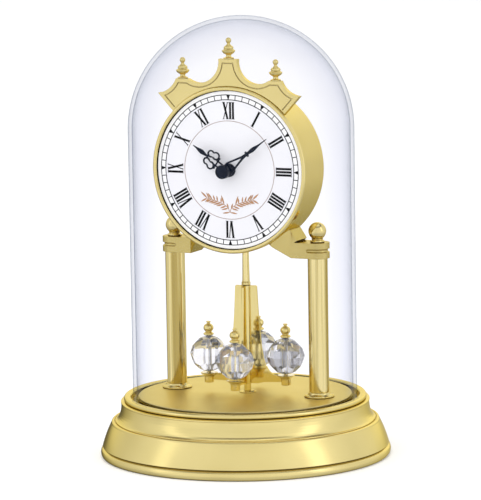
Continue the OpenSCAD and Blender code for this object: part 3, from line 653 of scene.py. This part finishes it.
def stroke(top_u, low_u, width):
    """A straight stroke of a numeral from its top to its foot, with hairline serifs."""
    h = width / 2
    shapes = [[(low_u - h, NUMERAL_LOW), (low_u + h, NUMERAL_LOW),
               (top_u + h, NUMERAL_TOP), (top_u - h, NUMERAL_TOP)]]
    reach = h + 0.3
    for u, v in ((top_u, NUMERAL_TOP - SERIF), (low_u, NUMERAL_LOW)):
        shapes.append([(u - reach, v), (u + reach, v), (u + reach, v + SERIF),
                       (u - reach, v + SERIF)])
    return shapes


THICK, THIN = 1.12, 0.46  # widths of strokes
# Each letter's width and the strokes that draw it about its middle
GLYPHS = {
    "I": (1.62, lambda u: stroke(u, u, THICK)),
    "V": (3.3, lambda u: stroke(u - 1.0, u + 0.15, THICK) + stroke(u + 1.25, u + 0.35, THIN)),
    "X": (3.6, lambda u: stroke(u - 1.1, u + 1.1, THICK) + stroke(u + 1.2, u - 1.2, THIN)),
}
NUMERALS = ("XII", "I", "II", "III", "IIII", "V", "VI", "VII", "VIII", "IX", "X", "XI")


def numerals():
    """The twelve Roman numerals, feet towards the centre."""
    shapes = []
    for hour, text in enumerate(NUMERALS):
        u = -sum(GLYPHS[c][0] for c in text) / 2
        for c in text:
            width, draw = GLYPHS[c]
            shapes += [turned(s, 30 * hour) for s in draw(u + width / 2)]
            u += width
    return shapes


def leaf(u, v, angle, length, width):
    """A pointed leaf from its foot at (u, v)."""
    a = math.radians(angle)
    outline = []
    for t, w in ((0, 0.12), (0.25, 0.8), (0.5, 1.0), (0.75, 0.7), (1, 0.05)):
        outline.append((t * length, w * width / 2))
    outline += [(x, -y) for x, y in reversed(outline)]
    c, s = math.cos(a), math.sin(a)
    return [(u + x * c - y * s, v + x * s + y * c) for x, y in outline]


# Leaves of one branch: share of the way along it, angle in degrees, length and width
LEAVES = (
    (1.0, 42, 4.9, 0.9), (1.0, -28, 4.2, 0.85), (0.90, 60, 3.6, 0.8), (0.92, -40, 3.0, 0.8),
    (0.78, 54, 4.2, 0.85), (0.82, -30, 3.2, 0.85), (0.66, 70, 3.0, 0.8), (0.68, -22, 3.6, 0.9),
    (0.54, 82, 3.0, 0.8), (0.54, -16, 4.0, 0.9), (0.38, 90, 2.8, 0.75), (0.40, -14, 4.2, 0.95),
    (0.242, 72, 5.2, 0.9), (0.28, -14, 4.2, 0.9), (0.16, -20, 3.6, 0.85), (0.05, 72, 2.9, 0.8),
    (0.06, -14, 4.0, 0.8), (0.0, -8, 4.1, 0.8),
)
SPRAY_FOOT, SPRAY_RISE, SPRAY_REACH = -21.9, 7.0, 12.65
TWIG_STEPS = 30
TWIG_HALF = 0.14  # half the twig's width


def branch(side, t):
    """A point on the twig to one side, from its foot (0) to its tip (1)."""
    return side * (0.15 + SPRAY_REACH * t), SPRAY_FOOT + SPRAY_RISE * t ** 0.42


def spray():
    """Two leafy branches that rise from the foot of the dial's centre and spread outwards."""
    shapes = []
    for side in (-1, 1):
        for k in range(TWIG_STEPS):
            (u0, v0), (u1, v1) = (branch(side, (k + e) / TWIG_STEPS) for e in (0, 1))
            off = Vector((u1 - u0, v1 - v0)).normalized() * TWIG_HALF
            shapes.append([(u0 + off.y, v0 - off.x), (u1 + off.y, v1 - off.x),
                           (u1 - off.y, v1 + off.x), (u0 - off.y, v0 + off.x)])
        for t, angle, length, width in LEAVES:
            u, v = branch(side, t)
            shapes.append(leaf(u, v, angle if side > 0 else 180 - angle, length, width))
    return shapes


print_piece("print_track", minute_track(), BLACK_INK)
print_piece("print_numerals", numerals(), BLACK_INK)
print_piece("print_inner_circle", ring(INNER_CIRCLE, FINE_WIDTH), FINE_INK)
print_piece("print_spray", spray(), COPPER_INK)
# painted shadow: a black ring along the bezel's inner edge, where its lip shades the dial
print_piece("painted_bezel_shadow_ring", ring(DIAL_VIEW_R / MM - 0.2, CIRCLE_WIDTH), BLACK_INK)


# ---------------------------------------------------------------- room, light and camera

FLOOR_R = 14.0


def build_floor():
    """A pale plain floor, far larger than the view."""
    bm = bmesh.new()
    bmesh.ops.create_circle(bm, cap_ends=True, segments=64, radius=FLOOR_R)
    mesh = bpy.data.meshes.new("floor")
    bm.to_mesh(mesh)
    bm.free()
    n = Nodes("pale_floor")
    shader = n.principled((0.9, 0.9, 0.9), roughness=0.8, Emission_Color=(1, 1, 1, 1),
                          Emission_Strength=0.10)
    n.link(n.mix(n.ramp(n.noise(3, 3), 0, 1), (0.89, 0.89, 0.89), (0.92, 0.92, 0.92)),
           shader.inputs["Base Color"])
    mesh.materials.append(n.material)
    floor = bpy.data.objects.new("floor", mesh)
    bpy.context.scene.collection.objects.link(floor)
    floor.visible_glossy = False


LAMP_AIM = Vector((0, 0, 0.1))


def softbox(name, azimuth, elevation, distance, width, height, strength):
    """A rectangular lamp that looks at the clock; azimuth 0 is in front of the dial."""
    lamp = bpy.data.lights.new(name, "AREA")
    lamp.shape = "RECTANGLE"
    lamp.size, lamp.size_y = width, height
    lamp.energy = strength * width * height
    a, e = math.radians(azimuth), math.radians(elevation)
    away = Vector((math.sin(a) * math.cos(e), -math.cos(a) * math.cos(e), math.sin(e)))
    obj = bpy.data.objects.new(name, lamp)
    obj.location = LAMP_AIM + away * distance
    obj.rotation_mode = "QUATERNION"
    obj.rotation_quaternion = away.to_track_quat("Z", "Y")
    obj.visible_glossy = False
    bpy.context.scene.collection.objects.link(obj)


# Brightness of the room in mirrors, by direction in degrees: 0 is in front of the dial and
# 90 to its right. The near ring is what lies below the horizon, the far one above.
NEAR_RING = ((-180, 0.62), (-155, 0.60), (-152, 0.30), (-147, 0.08), (-135, 0.12), (-122, 0.42),
             (-100, 0.72), (-75, 0.80), (-58, 0.78), (-50, 1.04), (-30, 1.06), (-12, 1.03),
             (2, 0.94), (10, 0.94), (18, 1.02), (45, 1.03), (66, 1.08), (76, 0.94),
             (88, 1.14), (100, 1.04), (116, 0.95), (137, 0.84), (155, 0.82), (172, 0.74))
FAR_RING = ((-180, 1.25), (-140, 1.05), (-95, 0.74), (-58, 0.95), (-52, 1.32), (-44, 1.32),
            (-38, 0.95), (10, 0.90), (50, 0.95), (76, 1.05), (82, 1.6), (92, 1.6), (98, 1.0),
            (125, 0.85), (160, 0.95))
HORIZON = (-0.08, 0.10)  # the heights between which the near ring gives way to the far one
# Brightness of the room by height, from straight down to straight up
LEVELS = ((-1.0, 0.70), (-0.6, 0.66), (-0.3, 0.86), (-0.2, 1.0), (0.30, 1.03), (0.60, 1.08),
          (0.74, 0.98), (0.80, 0.35), (0.87, 0.35), (0.92, 1.0), (1.0, 1.05))


def build_world():
    """A pale room: white to the camera and on matt surfaces, soft panels in mirrors and glass."""
    world = bpy.data.worlds.new("room")
    bpy.context.scene.world = world
    world.use_nodes = True
    tree = world.node_tree
    tree.nodes.clear()

    def add(kind, **values):
        node = tree.nodes.new(kind)
        for key, value in values.items():
            setattr(node, key, value)
        return node

    def stops_ramp(place, stops, span):
        """A ramp through the stops; those from -span to span fill it."""
        node = add("ShaderNodeValToRGB")
        first, last = node.color_ramp.elements
        first.position, last.position = 0, 1
        ends = stops[0][1], (stops[-1] if stops[-1][0] == span else stops[0])[1]
        for element, value in ((first, ends[0]), (last, ends[1])):
            element.color = (value, value, value, 1)
        for at, value in stops[1:]:
            if at < span:
                stop = node.color_ramp.elements.new((at + span) / (2 * span))
                stop.color = (value, value, value, 1)
        tree.links.new(place, node.inputs[0])
        return node.outputs[0]

    coords = add("ShaderNodeTexCoord")
    split = add("ShaderNodeSeparateXYZ")
    tree.links.new(coords.outputs["Generated"], split.inputs[0])
    flip = add("ShaderNodeMath", operation="MULTIPLY")
    flip.inputs[1].default_value = -1
    tree.links.new(split.outputs["Y"], flip.inputs[0])
    angle = add("ShaderNodeMath", operation="ARCTAN2")
    tree.links.new(split.outputs["X"], angle.inputs[0])
    tree.links.new(flip.outputs[0], angle.inputs[1])
    turn = add("ShaderNodeMapRange")
    turn.inputs["From Min"].default_value = -math.pi
    turn.inputs["From Max"].default_value = math.pi
    tree.links.new(angle.outputs[0], turn.inputs["Value"])
    height = add("ShaderNodeMapRange", interpolation_type="SMOOTHSTEP")
    height.inputs["From Min"].default_value, height.inputs["From Max"].default_value = HORIZON
    tree.links.new(split.outputs["Z"], height.inputs["Value"])
    rings = add("ShaderNodeMix", data_type="RGBA")
    tree.links.new(height.outputs["Result"], rings.inputs[0])
    tree.links.new(stops_ramp(turn.outputs["Result"], NEAR_RING, 180), rings.inputs[6])
    tree.links.new(stops_ramp(turn.outputs["Result"], FAR_RING, 180), rings.inputs[7])
    level = add("ShaderNodeMapRange")
    level.inputs["From Min"].default_value = -1
    tree.links.new(split.outputs["Z"], level.inputs["Value"])
    lit = add("ShaderNodeMix", data_type="RGBA", blend_type="MULTIPLY")
    lit.inputs[0].default_value = 1
    tree.links.new(rings.outputs[2], lit.inputs[6])
    tree.links.new(stops_ramp(level.outputs["Result"], LEVELS, 1), lit.inputs[7])
    ray = add("ShaderNodeLightPath")
    seen = add("ShaderNodeMath", operation="MAXIMUM")
    tree.links.new(ray.outputs["Is Camera Ray"], seen.inputs[0])
    tree.links.new(ray.outputs["Is Diffuse Ray"], seen.inputs[1])
    room = add("ShaderNodeMix", data_type="RGBA")
    tree.links.new(seen.outputs[0], room.inputs[0])
    tree.links.new(lit.outputs[2], room.inputs[6])
    room.inputs[7].default_value = (1, 1, 1, 1)
    background = add("ShaderNodeBackground")
    background.inputs["Strength"].default_value = 1.0
    tree.links.new(room.outputs[2], background.inputs["Color"])
    out = add("ShaderNodeOutputWorld")
    tree.links.new(background.outputs[0], out.inputs["Surface"])


def build_camera():
    """The photograph's viewpoint: a long lens, to the right of the dial and a little above."""
    azimuth, elevation, roll = (math.radians(a) for a in (25.14, 7.98, 0.9))
    distance = 1.84
    aim = Vector((-0.00115, -0.00054, 0.1071))
    back = Vector((math.sin(azimuth) * math.cos(elevation),
                   -math.cos(azimuth) * math.cos(elevation), math.sin(elevation)))
    cam = bpy.data.cameras.new("camera")
    cam.sensor_width = 36
    cam.lens = 255.2
    cam.clip_start, cam.clip_end = 0.05, 60
    obj = bpy.data.objects.new("camera", cam)
    obj.location = aim + back * distance
    obj.rotation_mode = "QUATERNION"
    obj.rotation_quaternion = back.to_track_quat("Z", "Y") @ Quaternion((0, 0, 1), -roll)
    bpy.context.scene.collection.objects.link(obj)
    bpy.context.scene.camera = obj


# Name, azimuth and elevation in degrees, distance, width and height in metres, and strength
SOFTBOXES = (
    ("front_box", 10, 28, 1.9, 1.5, 1.2, 3.0),
    ("left_box", -62, 30, 1.5, 0.7, 1.5, 2.0),
    ("right_box", 98, 30, 1.5, 0.6, 1.5, 1.5),
    ("top_box", 0, 88, 1.6, 1.4, 1.4, 2.0),
)

build_floor()
build_world()
for values in SOFTBOXES:
    softbox(*values)
build_camera()
bpy.context.scene.view_settings.view_transform = "Standard"
